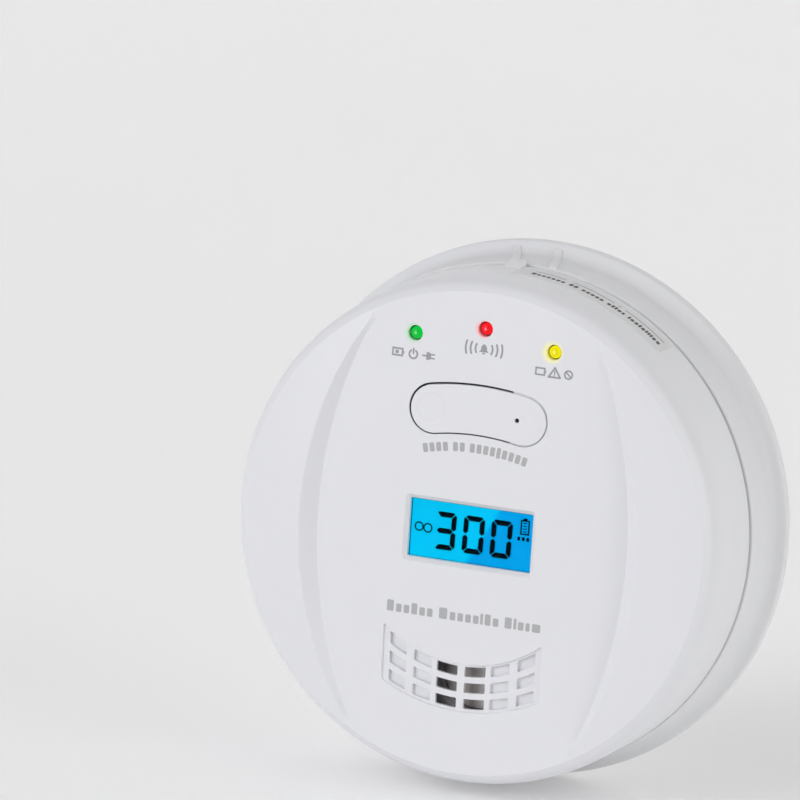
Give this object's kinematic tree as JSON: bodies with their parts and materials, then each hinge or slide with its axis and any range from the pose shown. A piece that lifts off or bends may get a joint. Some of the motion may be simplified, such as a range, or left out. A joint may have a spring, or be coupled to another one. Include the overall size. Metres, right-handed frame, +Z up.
{
  "type": "carbon monoxide alarm",
  "caption": "Round battery carbon monoxide alarm: domed cover with recessed panel, lit display, indicators, test button and grille, twisted onto a flared wall plate.",
  "frame": {"origin": "centre of the mounting plate's back face, on the wall plane", "axes": "+Y into the wall, so the face looks along -Y; +Z up as it hangs; +X to the right seen from the front"},
  "size_m": [0.12, 0.0421, 0.12],
  "materials": {
    "shell": "fine satin moulded ABS, cool white",
    "plate": "satin moulded ABS, white",
    "window": "clear polished",
    "display": "lit blue liquid crystal display with dark segments",
    "diffuser": "milky light guide",
    "dark_plastic": "black moulded",
    "elastomer": "striped conductive rubber",
    "board": "green solder mask",
    "lamp_green": "lit green lens",
    "lamp_red": "lit red lens",
    "lamp_yellow": "lit yellow lens",
    "steel": "zinc plated",
    "brass": "plain",
    "cell_jacket": "printed film over a steel can",
    "wire_red": "insulated lead",
    "wire_black": "insulated lead",
    "label": "coated sticker with plain marks"
  },
  "bodies": {
    "mounting_plate": {"mounting_plate": "plate"},
    "alarm_body": {"front_cover": "shell", "rear_housing": "shell", "battery_door": "shell", "battery_cell_upper": "cell_jacket", "battery_cell_lower": "cell_jacket", "battery_spring_upper": "steel", "battery_spring_lower": "steel", "link_contact": "steel", "terminal_negative": "steel", "terminal_positive": "steel", "battery_wire_black": "wire_black", "battery_wire_red": "wire_red", "display_window": "window", "display_glass": "display", "display_backlight": "diffuser", "display_connector_upper": "elastomer", "display_connector_lower": "elastomer", "display_holder": "dark_plastic", "circuit_board": "board", "led_green": "lamp_green", "led_red": "lamp_red", "led_yellow": "lamp_yellow", "led_spacer_green": "dark_plastic", "led_spacer_red": "dark_plastic", "led_spacer_yellow": "dark_plastic", "buzzer_housing": "dark_plastic", "buzzer_piezo_disc": "brass", "co_sensor_cell": "steel", "co_sensor_filter": "dark_plastic", "test_switch": "dark_plastic", "microcontroller": "dark_plastic", "inductor": "dark_plastic", "reservoir_capacitor": "steel", "housing_screw_1": "steel", "housing_screw_2": "steel", "housing_screw_3": "steel", "board_screw_1": "steel", "board_screw_2": "steel", "side_label": "label"},
    "test_button": {"test_button": "shell"},
    "switch_plunger": {"switch_plunger": "dark_plastic"}
  },
  "joints": [
    {"name": "body_twist", "type": "hinge", "parent": "mounting_plate", "child": "alarm_body", "pos_m": [0, 0, 0], "axis": [0, -1, 0], "range_deg": [0, 12]},
    {"name": "button_press", "type": "hinge", "parent": "alarm_body", "child": "test_button", "pos_m": [0.0076, -0.04, 0.02795], "axis": [0, 0, -1], "range_deg": [0, 1.5], "stiffness_Nm_per_rad": 1.4},
    {"name": "plunger_travel", "type": "slide", "parent": "alarm_body", "child": "switch_plunger", "axis": [0, 1, 0], "range_m": [0, 0.00052]}
  ],
  "couplings": [
    {"joint": "plunger_travel", "follows": "button_press", "m_per_rad": 0.0191}
  ]
}
